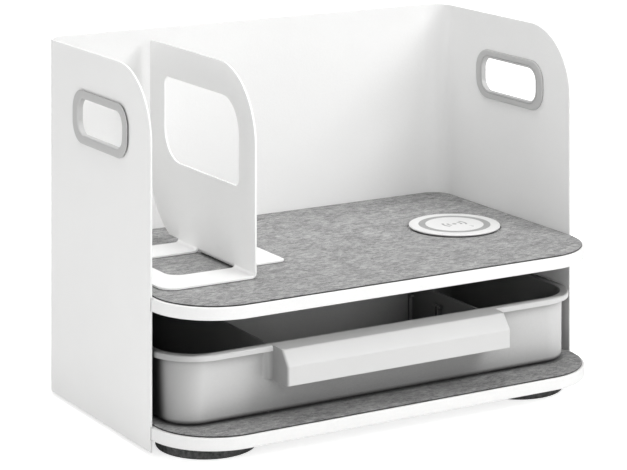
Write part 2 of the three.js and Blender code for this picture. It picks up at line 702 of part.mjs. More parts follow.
function trayBody() {
  const outside = tubBlock(TRAY_RIM.overhang, TRAY_BOTTOM, LIP_BOTTOM + 1);
  const inside = tubBlock(TRAY_RIM.overhang + TRAY_WALL, FLOOR_TOP, TRAY_TOP + 1);
  const pullHollow = pullBlock(PULL_SKIN).subtract(tubBlock(TRAY_RIM.overhang, PULL_BOTTOM - 2, TRAY_TOP));
  let body = outside.add(rim()).add(pullBlock(0)).subtract(pullHollow).subtract(inside);
  for (const x of PARTITIONS) {
    const half = PARTITION_THICKNESS / 2;
    const wall = block(x - half, TRAY_FRONT, FLOOR_TOP - 1, x + half, TRAY_BACK, PARTITION_TOP);
    body = body.add(wall.intersect(tubBlock(TRAY_RIM.overhang + 1, TRAY_BOTTOM, TRAY_TOP)));
  }
  for (const rib of slotRibs()) body = body.add(rib);
  return body;
}

function trayDivider() {
  const half = PARTITION_THICKNESS / 2 + FIT;
  const [left, right] = PARTITIONS;
  const front = DIVIDER_Y - DIVIDER_THICKNESS / 2;
  const back = DIVIDER_Y + DIVIDER_THICKNESS / 2;
  return block(left + half, front, FLOOR_TOP + FIT, right - half, back, DIVIDER_TOP);
}

add('tray_body', trayBody(), FINISHES.trayPlastic, tray);
add('tray_divider', trayDivider(), FINISHES.trayPlastic, tray);

// ---- Bookend ------------------------------------------------------------------------------------------

// The upright, drawn in (y, z), with its window.
function bookendUpright() {
  const bottom = BOOKEND_BOTTOM;
  const panel = outline([
    [BOOKEND_FRONT, bottom],
    [BOOKEND_BACK, bottom, BOOKEND_CORNER],
    [BOOKEND_BACK, BOOKEND_TOP, BOOKEND_TIP],
    [BOOKEND_FRONT, BOOKEND_TOP, BOOKEND_CORNER],
  ]);
  const { margin, height, tight, wide } = BOOKEND_WINDOW;
  const windowFront = BOOKEND_FRONT + margin;
  const windowBack = BOOKEND_BACK - margin;
  const windowTop = BOOKEND_TOP - margin;
  const windowBottom = windowTop - height;
  const opening = outline([
    [windowFront, windowBottom, tight],
    [windowBack, windowBottom, wide],
    [windowBack, windowTop, tight],
    [windowFront, windowTop, wide],
  ]);
  const right = BOOKEND_X + SHEET;
  const plate = across(panel, BOOKEND_X, right, LARGE_CORNER_CUTS);
  const foldTop = bottom + BOOKEND_BEND;
  const [left, front] = [BOOKEND_X - 1, BOOKEND_FRONT - 1];
  const belowFold = block(left, front, bottom - 1, right + 1, BOOKEND_BASE_BACK, foldTop);
  return plate.subtract(across(opening, left, right + 1)).subtract(belowFold);
}

// An L section, drawn in (x, z): a strip on the shelf that turns up into the upright.
function foldSection(tip, inner, outer) {
  const bottom = BOOKEND_BOTTOM;
  const foldTop = bottom + BOOKEND_BEND + 1;
  return outline([
    [tip, bottom],
    [outer, bottom, BOOKEND_BEND],
    [outer, foldTop],
    [inner, foldTop],
    [inner, bottom + SHEET, BOOKEND_BEND - SHEET],
    [tip, bottom + SHEET],
  ]);
}

function bookendBase() {
  const right = BOOKEND_X + SHEET;
  const section = foldSection(BOOKEND_BASE_LEFT, BOOKEND_X, right);
  const strip = lengthways(section, BOOKEND_FRONT, BOOKEND_BASE_BACK);
  const plan = outline([
    [BOOKEND_BASE_LEFT, BOOKEND_FRONT, BOOKEND_BASE_CORNER],
    [right + 1, BOOKEND_FRONT],
    [right + 1, BOOKEND_BASE_BACK],
    [BOOKEND_BASE_LEFT, BOOKEND_BASE_BACK, BOOKEND_BASE_CORNER],
  ]);
  const { left, front, back, corner } = BASE_WINDOW;
  const opening = outline([
    [left, front, corner],
    [right + 1, front],
    [right + 1, back],
    [left, back, corner],
  ]);
  const [low, high] = [BOOKEND_BOTTOM - 1, BOOKEND_BOTTOM + BOOKEND_BEND + 2];
  return strip.intersect(upright(plan, low, high)).subtract(upright(opening, low, high));
}

function bookendTongue() {
  const right = BOOKEND_X + SHEET;
  const section = foldSection(BOOKEND_TONGUE_RIGHT, right, BOOKEND_X);
  const strip = lengthways(section, TONGUE.front, TONGUE.back);
  const plan = outline([
    [BOOKEND_X - 1, TONGUE.front],
    [BOOKEND_TONGUE_RIGHT, TONGUE.front, TONGUE.corner],
    [BOOKEND_TONGUE_RIGHT, TONGUE.back, TONGUE.corner],
    [BOOKEND_X - 1, TONGUE.back],
  ]);
  return strip.intersect(upright(plan, BOOKEND_BOTTOM - 1, BOOKEND_BOTTOM + BOOKEND_BEND + 2));
}

add('bookend', bookendUpright().add(bookendBase()).add(bookendTongue()), FINISHES.powderCoat);

export default hutch;
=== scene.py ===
"""Looks of the desk hutch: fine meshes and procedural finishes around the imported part. Metres, +Z up."""

import json
import math

import bmesh
import bpy
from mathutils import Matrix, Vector
from mathutils.geometry import tessellate_polygon


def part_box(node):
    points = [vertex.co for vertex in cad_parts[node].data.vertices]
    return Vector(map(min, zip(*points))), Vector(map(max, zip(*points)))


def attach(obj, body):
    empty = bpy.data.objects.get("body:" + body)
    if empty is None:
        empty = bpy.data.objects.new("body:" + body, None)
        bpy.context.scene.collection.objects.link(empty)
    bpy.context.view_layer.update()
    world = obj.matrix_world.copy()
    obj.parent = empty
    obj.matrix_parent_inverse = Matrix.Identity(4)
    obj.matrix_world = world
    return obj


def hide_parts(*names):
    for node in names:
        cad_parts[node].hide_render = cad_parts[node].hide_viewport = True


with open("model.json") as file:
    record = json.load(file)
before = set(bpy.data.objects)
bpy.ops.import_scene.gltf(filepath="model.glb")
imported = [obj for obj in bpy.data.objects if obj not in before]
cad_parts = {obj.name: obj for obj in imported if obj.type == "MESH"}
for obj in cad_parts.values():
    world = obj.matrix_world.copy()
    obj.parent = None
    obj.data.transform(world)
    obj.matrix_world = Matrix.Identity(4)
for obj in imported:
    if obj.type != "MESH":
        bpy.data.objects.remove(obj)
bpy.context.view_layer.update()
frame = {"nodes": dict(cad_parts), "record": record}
MM = 0.001

# ---- Dimensions the box corners of the parts don't give, in millimetres -------------------------------

SHEET = 1.6
BEND = 20.0
PANEL_CORNER = 56.0
SHELF_CORNER = 55.5
SHELF_EDGE = 0.8
FELT_CORNER = 53.0
FELT_EDGE = 0.45
SHEET_EDGE = 0.4
HAND_OPENING = (82.0, 29.5, 11.0)
GROMMET_WALL = 1.8
GROMMET_FLANGE = (101.0, 43.5, 17.5)
OUTLET_OPENING = (28.0, 16.0, 7.0)
FIT = 0.3
SEAT = 0.05

SHELL_LO, SHELL_HI = [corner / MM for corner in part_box("frame_shell")]
SIDE = SHELL_HI.x
BACK = SHELL_HI.y
SIDE_FRONT = SHELL_LO.y


def middle(node):
    lo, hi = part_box(node)
    return (lo + hi) / 2 / MM


def corners_of(node):
    lo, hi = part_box(node)
    return lo / MM, hi / MM


# ---- Outlines -----------------------------------------------------------------------------------------


def outline(corners, step=6.0):
    """Points round a closed outline of (u, v) or (u, v, radius) corners, step degrees to an arc piece."""
    points = []
    count = len(corners)
    for i, corner in enumerate(corners):
        here = Vector(corner[:2])
        radius = corner[2] if len(corner) > 2 else 0.0
        if radius <= 0:
            points.append(here)
            continue
        back = (Vector(corners[i - 1][:2]) - here).normalized()
        onward = (Vector(corners[(i + 1) % count][:2]) - here).normalized()
        half = back.angle(onward) / 2
        centre = here + (back + onward).normalized() * (radius / math.sin(half))
        start = here + back * (radius / math.tan(half)) - centre
        end = here + onward * (radius / math.tan(half)) - centre
        sweep = math.atan2(start.x * end.y - start.y * end.x, start.dot(end))
        pieces = max(2, math.ceil(abs(math.degrees(sweep)) / step - 1e-3))
        first = math.atan2(start.y, start.x)
        for k in range(pieces + 1):
            angle = first + sweep * k / pieces
            points.append(centre + Vector((math.cos(angle), math.sin(angle))) * radius)
    return points


def rounded(u, v, length, height, corner, step=6.0):
    """A rounded rectangle, anticlockwise."""
    a, b = length / 2, height / 2
    return outline(
        [
            (u - a, v - b, corner),
            (u + a, v - b, corner),
            (u + a, v + b, corner),
            (u - a, v + b, corner),
        ],
        step,
    )


def rectangle(low, high):
    """The outline, seen from above, of a block between two corners."""
    ends = ((low[0], low[1]), (high[0], low[1]), (high[0], high[1]), (low[0], high[1]))
    return [Vector(end) for end in ends]


def signed_area(points):
    return sum(p.x * q.y - q.x * p.y for p, q in zip(points, points[1:] + points[:1])) / 2


def shrunk(points, by):
    """The outline moved to its left by a distance: inwards if it runs anticlockwise."""
    moved = []
    count = len(points)
    for i, here in enumerate(points):
        before = (here - points[i - 1]).normalized()
        after = (points[(i + 1) % count] - here).normalized()
        left = Vector((-before.y - after.y, before.x + after.x))
        left.normalize()
        reach = max(0.35, left.dot(Vector((-before.y, before.x))))
        moved.append(here + left * (by / reach))
    return moved


# ---- Meshes -------------------------------------------------------------------------------------------


def to_object(name, bm, unit=MM):
    """A new object from a mesh in millimetres."""
    bmesh.ops.remove_doubles(bm, verts=bm.verts, dist=1e-4)
    bmesh.ops.recalc_face_normals(bm, faces=bm.faces)
    bmesh.ops.scale(bm, vec=(unit, unit, unit), verts=bm.verts)
    mesh = bpy.data.meshes.new(name)
    bm.to_mesh(mesh)
    bm.free()
    mesh.shade_smooth()
    obj = bpy.data.objects.new(name, mesh)
    bpy.context.scene.collection.objects.link(obj)
    return obj


def rounding(edge, steps=3):
    """(inset, height) from the flat face round to the side, for an edge of that radius."""
    turns = [math.pi / 2 * k / steps for k in range(steps + 1)]
    return [(edge * (1 - math.sin(a)), edge * (1 - math.cos(a))) for a in turns]


def plate(outer, holes, low, high, edge):
    """A flat piece in (u, v) from low up to high, with holes and rounded edges. Returns its bmesh."""
    bm = bmesh.new()
    loops = [outer if signed_area(outer) > 0 else outer[::-1]]
    loops += [hole if signed_area(hole) < 0 else hole[::-1] for hole in holes]
    levels = [(0.0, low), (0.0, high)]
    if edge:
        levels = [(inset, low + height) for inset, height in rounding(edge)]
        levels += [(inset, high - height) for inset, height in reversed(rounding(edge))]
    rings = []
    for loop in loops:
        stack = []
        for inset, height in levels:
            stack.append([bm.verts.new((p.x, p.y, height)) for p in shrunk(loop, inset)])
        rings.append(stack)
        for lower, upper in zip(stack, stack[1:]):
            for i in range(len(lower)):
                j = (i + 1) % len(lower)
                bm.faces.new((lower[i], lower[j], upper[j], upper[i]))
    for level, flip in ((0, True), (-1, False)):
        flat = [v for stack in rings for v in stack[level]]
        polygons = [[v.co.copy() for v in stack[level]] for stack in rings]
        for tri in tessellate_polygon(polygons):
            a, b, c = [flat[i] for i in tri]
            area = (b.co - a.co).cross(c.co - a.co).z
            if abs(area) < 1e-9:
                continue
            if (area > 0) == flip:
                a, c = c, a
            bm.faces.new((a, b, c))
    return bm


def remap(bm, place):
    """Moves each vertex to place(x, y, z)."""
    for v in bm.verts:
        v.co = place(*v.co)
    return bm


def slice_at(bm, axis, values):
    """Adds a row of edges across the mesh at each value on an axis."""
    normal = [0.0, 0.0, 0.0]
    normal[axis] = 1.0
    for value in values:
        point = [0.0, 0.0, 0.0]
        point[axis] = value
        geometry = bm.verts[:] + bm.edges[:] + bm.faces[:]
        bmesh.ops.bisect_plane(bm, geom=geometry, dist=1e-5, plane_co=point, plane_no=normal)
    return bm


def swept(stations, closed=False, capped=True):
    """Joins loops of equal length, from first to last or round to the first again."""
    bm = bmesh.new()
    rings = [[bm.verts.new(point) for point in ring] for ring in stations]
    pairs = list(zip(rings, rings[1:]))
    if closed:
        pairs.append((rings[-1], rings[0]))
    for lower, upper in pairs:
        for i in range(len(lower)):
            j = (i + 1) % len(lower)
            bm.faces.new((lower[i], lower[j], upper[j], upper[i]))
    if not closed and capped:
        bm.faces.new(rings[0][::-1])
        bm.faces.new(rings[-1])
    return bm


def turned(name, profile, x, y, cuts=96, closed=True):
    """A profile of (radius, z) turned about an upright axis. If open, it starts and ends on the axis."""
    angles = [2 * math.pi * k / cuts for k in range(cuts)]
    stations = []
    for radius, z in profile:
        stations.append([(x + radius * math.cos(a), y + radius * math.sin(a), z) for a in angles])
    return to_object(name, swept(stations, closed, capped=False))


def soft_profile(corners, step=18.0):
    """A closed profile with rounded corners, as (radius, z) pairs."""
    return [tuple(point) for point in outline(corners, step)]


def applied(obj):
    """Applies the object's modifiers to its mesh."""
    graph = bpy.context.evaluated_depsgraph_get()
    done = bpy.data.meshes.new_from_object(obj.evaluated_get(graph))
    obj.modifiers.clear()
    obj.data = done
    return obj


def combine(obj, other, operation):
    """Joins or cuts obj with other, which is used up."""
    modifier = obj.modifiers.new("combine", "BOOLEAN")
    modifier.operation = operation
    modifier.solver = "EXACT"
    modifier.object = other
    applied(obj)
    bpy.data.objects.remove(other)
    return obj


def weighted(obj):
    modifier = obj.modifiers.new("normals", "WEIGHTED_NORMAL")
    modifier.keep_sharp = True
    modifier.weight = 100
    return obj


def softened(obj, width, angle=35.0, segments=3):
    """Rounds the sharp edges of an object."""
    modifier = obj.modifiers.new("edges", "BEVEL")
    modifier.width = width * MM
    modifier.segments = segments
    modifier.limit_method = "ANGLE"
    modifier.angle_limit = math.radians(angle)
    modifier.harden_normals = False
    modifier.use_clamp_overlap = True
    return weighted(obj)


def finished(obj, body, finish, replaced=(), look=None):
    """Gives a piece its body, its material and the CAD nodes it stands for."""
    obj.data.materials.clear()
    obj.data.materials.append(MATERIALS[look or finish])
    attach(obj, body)
    if replaced:
        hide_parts(*replaced)
    return obj


# ---- Materials ----------------------------------------------------------------------------------------


class Finish:
    """A procedural material under construction."""

    def __init__(self, name):
        self.material = bpy.data.materials.new(name)
        self.material.use_nodes = True
        self.tree = self.material.node_tree
        self.shader = self.tree.nodes["Principled BSDF"]
        self.place = self.node("ShaderNodeTexCoord").outputs["Object"]

    def node(self, kind, inputs=None, **settings):
        node = self.tree.nodes.new(kind)
        for key, value in settings.items():
            setattr(node, key, value)
        for key, value in (inputs or {}).items():
            self.feed(node.inputs[key], value)
        return node

    def feed(self, socket, value):
        if isinstance(value, bpy.types.NodeSocket):
            self.tree.links.new(value, socket)
        else:
            socket.default_value = value

    def stretched(self, x, y, z):
        mapping = self.node("ShaderNodeMapping", {"Vector": self.place, "Scale": (x, y, z)})
        return mapping.outputs["Vector"]

    def noise(self, scale, detail=3.0, roughness=0.55, vector=None, distortion=0.0):
        inputs = {
            "Vector": vector or self.place,
            "Scale": scale,
            "Detail": detail,
            "Roughness": roughness,
            "Distortion": distortion,
        }
        return self.node("ShaderNodeTexNoise", inputs).outputs["Fac"]

    def maths(self, operation, a, b=0.0):
        return self.node("ShaderNodeMath", {0: a, 1: b}, operation=operation).outputs[0]

    def ranged(self, value, low, high, start=0.3, end=0.7):
        inputs = {"Value": value, "From Min": start, "From Max": end, "To Min": low, "To Max": high}
        return self.node("ShaderNodeMapRange", inputs).outputs["Result"]

    def ramp(self, value, stops):
        node = self.node("ShaderNodeValToRGB", {"Fac": value})
        while len(node.color_ramp.elements) < len(stops):
            node.color_ramp.elements.new(0.5)
        for element, (position, colour) in zip(node.color_ramp.elements, stops):
            element.position = position
            element.color = (*colour, 1.0)
        return node.outputs["Color"]

    def mixed(self, factor, a, b, blend="MIX"):
        node = self.node("ShaderNodeMix", data_type="RGBA", blend_type=blend)
        self.feed(node.inputs["Factor"], factor)
        self.feed(node.inputs["A"], (*a, 1.0) if isinstance(a, tuple) else a)
        self.feed(node.inputs["B"], (*b, 1.0) if isinstance(b, tuple) else b)
        return node.outputs["Result"]

    def bumped(self, height, distance, strength=1.0, normal=None):
        inputs = {"Height": height, "Distance": distance, "Strength": strength}
        if normal is not None:
            inputs["Normal"] = normal
        return self.node("ShaderNodeBump", inputs).outputs["Normal"]

    def done(self, **inputs):
        for key, value in inputs.items():
            socket = self.shader.inputs[key.replace("_", " ")]
            if isinstance(value, tuple) and len(value) == 3:
                value = (*value, 1.0)
            self.feed(socket, value)
        return self.material


def grey(level):
    return (level, level, level * 0.995)


def crevice_shade(finish, colour, floor, reach, open_from=0.85, spared=None):
    """Darkens a colour in corners, where little light gets in, except where spared is 1."""
    occlusion = finish.node("ShaderNodeAmbientOcclusion", {"Distance": reach}, samples=8)
    shade = finish.ranged(occlusion.outputs["AO"], floor, 1.0, open_from - 0.7, open_from)
    if spared is not None:
        shade = finish.maths("MAXIMUM", shade, spared)
    return finish.mixed(1.0, colour, shade, "MULTIPLY")


def surface(finish, level, roughness, grain, depth):
    """Colour, roughness and normal of paint or moulded plastic: faintly cloudy, speckled and grained."""
    cloud = finish.ranged(finish.noise(9.0, 4.0), 0.975, 1.0)
    speckle = finish.ranged(finish.noise(grain, 2.0), 0.985, 1.01)
    colour = finish.mixed(1.0, grey(level), finish.maths("MULTIPLY", cloud, speckle), "MULTIPLY")
    rough = finish.ranged(finish.noise(60.0, 3.0), roughness - 0.05, roughness + 0.07)
    broad = finish.bumped(finish.noise(grain * 0.35, 2.0), depth * 1.5, 0.5)
    return colour, rough, finish.bumped(finish.noise(grain, 3.0, 0.6), depth, 0.8, broad)


def coated(name, level, roughness, grain, depth, floor=1.0, reach=0.003):
    """Paint or moulded plastic, with painted shade: darkened down to floor in seams narrower than reach.
    """
    finish = Finish(name)
    colour, rough, normal = surface(finish, level, roughness, grain, depth)
    # Painted shade: occlusion darkens the colour in seams.
    if floor < 1.0:
        colour = crevice_shade(finish, colour, floor, reach)
    return finish.done(Base_Color=colour, Roughness=rough, Normal=normal)


def bookend_material():
    """The shell's coat on the bookend, with painted shade: faces turned up are darkened to 0.80, so its
    flat base, which catches the top light, is a little darker.
    """
    finish = Finish("bookend_coat_painted_shade")
    colour, rough, normal = surface(finish, 0.98, 0.50, 1500.0, 0.00009)
    # Painted shade: faces turned up are darkened down to 0.80.
    upright = finish.node("ShaderNodeNewGeometry").outputs["Normal"]
    facing = finish.node("ShaderNodeSeparateXYZ", {"Vector": upright}).outputs["Z"]
    colour = finish.mixed(1.0, colour, finish.ranged(facing, 1.0, 0.80, 0.4, 1.0), "MULTIPLY")
    return finish.done(Base_Color=colour, Roughness=rough, Normal=normal)


def tray_material():
    """Matt grey moulding with painted shade: its compartments are darkened by occlusion except at the
    front, and faces turned to the left, such as its left side facing the panel, are darkened to 0.45.
    """
    finish = Finish("tray_plastic")
    colour, rough, normal = surface(finish, 0.61, 0.40, 2600.0, 0.00006)
    # Painted shade: occlusion darkens the compartments down to 0.06 over 70 mm, spared in front of the
    # wall.
    depth = finish.node("ShaderNodeSeparateXYZ", {"Vector": finish.place}).outputs["Y"]
    in_front = finish.ranged(depth, 1.0, 0.0, -0.099, -0.094)
    colour = crevice_shade(finish, colour, 0.06, 0.07, spared=in_front)
    # Painted shade: faces turned to the left are darkened down to 0.45.
    upright = finish.node("ShaderNodeNewGeometry").outputs["Normal"]
    facing = finish.node("ShaderNodeSeparateXYZ", {"Vector": upright}).outputs["X"]
    colour = finish.mixed(1.0, colour, finish.ranged(facing, 0.45, 1.0, -1.0, -0.25), "MULTIPLY")
    return finish.done(Base_Color=colour, Roughness=rough, Normal=normal)


def felt_material():
    """Grey heather felt: matted fibres lying mostly along the shelf, with painted shade: its cut edge is
    darkened to 0.08 and it is darkened within 4 mm of the parts it meets.
    """
    finish = Finish("felt")
    tufts = finish.noise(170.0, 4.0, 0.68, finish.stretched(1.0, 1.7, 1.7), 0.7)
    fibres = finish.noise(420.0, 3.0, 0.7, finish.stretched(1.0, 2.6, 2.6), 1.0)
    clumps = finish.noise(45.0, 3.0, 0.6, finish.stretched(1.0, 1.6, 1.6), 0.8)
    mix = finish.maths("MULTIPLY", tufts, 0.50)
    mix = finish.maths("ADD", mix, finish.maths("MULTIPLY", fibres, 0.30))
    mix = finish.maths("ADD", mix, finish.maths("MULTIPLY", clumps, 0.20))
    colour = finish.ramp(
        mix,
        [
            (0.36, (0.070, 0.070, 0.071)),
            (0.45, (0.175, 0.175, 0.175)),
            (0.54, (0.300, 0.300, 0.298)),
            (0.65, (0.480, 0.480, 0.475)),
        ],
    )
    # Painted shade: darkened down to 0.10 within 4 mm of the parts it meets.
    colour = crevice_shade(finish, colour, 0.10, 0.004, 0.95)
    # Painted shade: faces not turned up, at the cut edge, are darkened down to 0.08.
    upright = finish.node("ShaderNodeNewGeometry").outputs["True Normal"]
    facing = finish.node("ShaderNodeSeparateXYZ", {"Vector": upright}).outputs["Z"]
    colour = finish.mixed(1.0, colour, finish.ranged(facing, 0.08, 1.0, 0.5, 0.97), "MULTIPLY")
    fuzz = finish.noise(900.0, 4.0, 0.75, finish.stretched(1.0, 2.0, 2.0), 1.5)
    normal = finish.bumped(mix, 0.0016, 0.9)
    normal = finish.bumped(fuzz, 0.0004, 0.8, normal)
    return finish.done(
        Base_Color=colour, Roughness=0.95, Normal=normal, Sheen_Weight=0.2, Sheen_Roughness=0.6
    )


def foot_material():
    finish = Finish("foot_rubber")
    mottle = finish.noise(240.0, 4.0, 0.7)
    colour = finish.ramp(mottle, [(0.35, grey(0.045)), (0.65, grey(0.115))])
    normal = finish.bumped(finish.noise(700.0, 4.0, 0.7), 0.0004, 0.9)
    return finish.done(Base_Color=colour, Roughness=0.9, Normal=normal)


def steel_material():
    finish = Finish("steel")
    streaks = finish.noise(900.0, 3.0, 0.6, finish.stretched(1.0, 1.0, 0.05))
    rough = finish.ranged(streaks, 0.24, 0.42)
    colour = finish.mixed(finish.noise(70.0), (0.50, 0.51, 0.53), (0.64, 0.64, 0.62))
    normal = finish.bumped(streaks, 0.00005, 0.5)
    return finish.done(Base_Color=colour, Roughness=rough, Metallic=1.0, Normal=normal)


def copper_material():
    """Wound wire: fine rings round the coil's centre."""
    finish = Finish("copper")
    centre = middle("charger_coil") * MM
    shifted = finish.node(
        "ShaderNodeVectorMath", {0: finish.place, 1: tuple(centre)}, operation="SUBTRACT"
    ).outputs[0]
    flat = finish.node("ShaderNodeVectorMath", {0: shifted, 1: (1, 1, 0)}, operation="MULTIPLY")
    reach = finish.node("ShaderNodeVectorMath", {0: flat.outputs[0]}, operation="LENGTH")
    wave = finish.maths("SINE", finish.maths("MULTIPLY", reach.outputs["Value"], 7000.0))
    share = finish.ranged(wave, 0.0, 1.0, -1.0, 1.0)
    colour = finish.mixed(share, (0.30, 0.12, 0.05), (0.80, 0.42, 0.22))
    normal = finish.bumped(wave, 0.0002, 0.8)
    return finish.done(Base_Color=colour, Roughness=0.35, Metallic=1.0, Normal=normal)


def board_material():
    finish = Finish("circuit_board")
    tracks = finish.node(
        "ShaderNodeTexVoronoi", {"Vector": finish.place, "Scale": 260.0}, feature="DISTANCE_TO_EDGE"
    ).outputs["Distance"]
    colour = finish.ramp(tracks, [(0.02, (0.05, 0.26, 0.12)), (0.06, (0.015, 0.10, 0.045))])
    normal = finish.bumped(tracks, 0.00004, 0.6)
    return finish.done(Base_Color=colour, Roughness=0.35, Normal=normal)


MATERIALS = {
    "powder_coat": coated("powder_coat", 0.88, 0.52, 1500.0, 0.00009),
    "bookend_coat_painted_shade": bookend_material(),
    "shelf_paint": coated("shelf_paint", 0.82, 0.42, 700.0, 0.00004),
    "felt": felt_material(),
    # Painted shade: the grommets' plastic is darkened down to 0.25 in seams within 3 mm.
    "grey_plastic": coated("grey_plastic", 0.51, 0.42, 2200.0, 0.00006, 0.25, 0.003),
    "tray_plastic": tray_material(),
    # Painted shade: the pad cover is darkened down to 0.1 in seams within 4 mm, along its foot on the
    # felt.
    "white_plastic": coated("white_plastic", 0.68, 0.32, 1800.0, 0.00003, 0.1, 0.004),
    "ring_plastic": coated("ring_plastic", 0.30, 0.38, 1800.0, 0.00003),
    "foot_rubber": foot_material(),
    "steel": steel_material(),
    "copper": copper_material(),
    "ferrite": coated("ferrite", 0.035, 0.65, 1200.0, 0.00008),
    "circuit_board": board_material(),
}

# ---- Shell: one sheet, drawn flat, then bent round the two upright bends ------------------------------

FLAT_BACK = SIDE - BEND
ARC = BEND * math.pi / 2
HALF_SHEET = FLAT_BACK + ARC + (BACK - BEND - SIDE_FRONT)


def bent_shell(s, z, t):
    """Where a point of the flat sheet goes: s along it, z up, t in from its outer face."""
    way = math.copysign(1.0, s)
    beyond = abs(s) - FLAT_BACK
    if beyond <= 0:
        return s, BACK - t, z
    if beyond < ARC:
        angle = beyond / BEND
        reach = BEND - t
        return way * (FLAT_BACK + reach * math.sin(angle)), BACK - BEND + reach * math.cos(angle), z
    return way * (SIDE - t), BACK - BEND - (beyond - ARC), z


def make_shell():
    low, high = SHELL_LO.z, SHELL_HI.z
    outer = outline(
        [
            (-HALF_SHEET, low, 1.0),
            (HALF_SHEET, low, 1.0),
            (HALF_SHEET, high, PANEL_CORNER),
            (-HALF_SHEET, high, PANEL_CORNER),
        ],
        4.0,
    )
    hand = middle("grommet_right_outer")
    length, height, corner = HAND_OPENING
    grow = GROMMET_WALL + FIT
    holes = []
    for way in (-1, 1):
        s = way * (HALF_SHEET - (hand.y - SIDE_FRONT))
        holes.append(rounded(s, hand.z, length + 2 * grow, height + 2 * grow, corner + grow))
    outlet = middle("cable_outlet")
    holes.append(rounded(outlet.x, outlet.z, *OUTLET_OPENING))
    bm = plate(outer, holes, 0.0, SHEET, SHEET_EDGE)
    bends = [FLAT_BACK + ARC * k / 20 for k in range(21)]
    slice_at(bm, 0, [way * s for s in bends for way in (-1, 1)])
    remap(bm, bent_shell)
    obj = weighted(to_object("shell_sheet", bm))
    return finished(obj, "frame", "powder_coat", ["frame_shell"])


make_shell()

# ---- Grommets -----------------------------------------------------------------------------------------


def grommet_loop(grow, flare):
    """The hand opening grown by a distance, then taken a share of the way out to the flange's edge."""
    length, height, corner = HAND_OPENING
    wide, tall, round_ = GROMMET_FLANGE
    a, b, c = length + 2 * grow, height + 2 * grow, corner + grow
    return rounded(0, 0, a + (wide - a) * flare, b + (tall - b) * flare, c + (round_ - c) * flare, 6.0)


def grommet_piece(name, node, side, section):
    """Sweeps a closed section of (grow, flare, depth) round the hand opening. Depth is outwards."""
    centre = middle(node)
    lo, hi = corners_of(node)
    outer = node.endswith("outer")
    if outer:
        datum = hi.x if side > 0 else lo.x
    else:
        datum = lo.x if side > 0 else hi.x
    out = side if outer else -side
    stations = []
    for grow, flare, depth in section:
        loop = grommet_loop(grow, flare)
        stations.append([(datum + out * (depth - FLANGE), centre.y + p.x, centre.z + p.y) for p in loop])
    obj = weighted(to_object(name, swept(stations, closed=True)))
    return finished(obj, "frame", "grey_plastic", [node])


FLANGE = 1.8
TUBE_END = -(SHEET + 2 * SEAT + FLANGE)
OUTER_SECTION = [
    (0.0, 0.0, TUBE_END + 0.3),
    (0.0, 0.0, 0.2),
    (0.1, 0.0, 0.8),
    (0.4, 0.0, 1.4),
    (0.9, 0.0, 1.7),
    (1.6, 0.0, 1.8),
    (1.6, 0.55, 1.8),
    (1.6, 0.85, 1.74),
    (1.6, 0.95, 1.66),
    (1.6, 0.99, 1.5),
    (1.6, 1.0, 1.3),
    (1.6, 0.95, 1.0),
    (1.6, 0.80, 0.0),
    (1.8, 0.0, 0.0),
    (1.8, 0.0, TUBE_END + 0.3),
    (1.6, 0.0, TUBE_END),
    (0.3, 0.0, TUBE_END),
]
INNER_SECTION = [
    (1.85, 0.0, 0.0),
    (1.85, 0.0, 1.5),
    (2.1, 0.0, 1.72),
    (2.5, 0.0, 1.8),
    (2.5, 0.6, 1.8),
    (2.5, 0.88, 1.72),
    (2.5, 0.96, 1.4),
    (2.5, 0.99, 0.8),
    (2.5, 1.0, 0.2),
    (2.5, 0.985, 0.0),
]

for word, side in (("left", -1), ("right", 1)):
    grommet_piece(f"hand_grommet_{word}_outside", f"grommet_{word}_outer", side, OUTER_SECTION)
    grommet_piece(f"hand_grommet_{word}_inside", f"grommet_{word}_inner", side, INNER_SECTION)

# ---- Shelves and felts --------------------------------------------------------------------------------

INNER_SIDE = SIDE - SHEET
INNER_BACK = BACK - SHEET


def shelf_outline(front):
    side = INNER_SIDE - FIT
    step = SIDE_FRONT - FIT
    back = INNER_BACK - FIT
    return outline(
        [
            (-SIDE, front, SHELF_CORNER),
            (SIDE, front, SHELF_CORNER),
            (SIDE, step, 1.2),
            (side, step),
            (side, back, BEND - SHEET),
            (-side, back, BEND - SHEET),
            (-side, step),
            (-SIDE, step, 1.2),
        ],
        3.0,
    )


def felt_outline(lo, hi):
    return outline(
        [
            (lo.x, lo.y, FELT_CORNER),
            (hi.x, lo.y, FELT_CORNER),
            (hi.x, hi.y, BEND - SHEET),
            (lo.x, hi.y, BEND - SHEET),
        ],
        3.0,
    )


def circle(x, y, radius, cuts=96):
    angles = [2 * math.pi * k / cuts for k in range(cuts)]
    return [Vector((x + radius * math.cos(a), y + radius * math.sin(a))) for a in angles]


CHARGER = middle("charger_cover")
CHARGER_LO, CHARGER_HI = corners_of("charger_cover")
PAD_RADIUS = (CHARGER_HI.x - CHARGER_LO.x) / 2

for level in ("upper", "lower"):
    lo, hi = corners_of(f"{level}_shelf")
    holes = [circle(CHARGER.x, CHARGER.y, PAD_RADIUS - 2.7)] if level == "upper" else []
    board_plate = plate(shelf_outline(lo.y), holes, lo.z, hi.z, SHELF_EDGE)
    board = to_object(f"{level}_shelf_board", board_plate)
    finished(weighted(board), "frame", "shelf_paint", [f"{level}_shelf"])
    lo, hi = corners_of(f"{level}_felt")
    holes = [circle(CHARGER.x, CHARGER.y, PAD_RADIUS + FIT)] if level == "upper" else []
    felt_plate = plate(felt_outline(lo, hi), holes, lo.z, hi.z, FELT_EDGE)
    sheet = to_object(f"{level}_felt_sheet", felt_plate)
    finished(weighted(sheet), "frame", "felt", [f"{level}_felt"])

# ---- Feet ---------------------------------------------------------------------------------------------

FOOT_SCREW_HOLE, FOOT_HEAD_HOLE, FOOT_HEAD_SEAT = 2.3, 6.0, 6.0

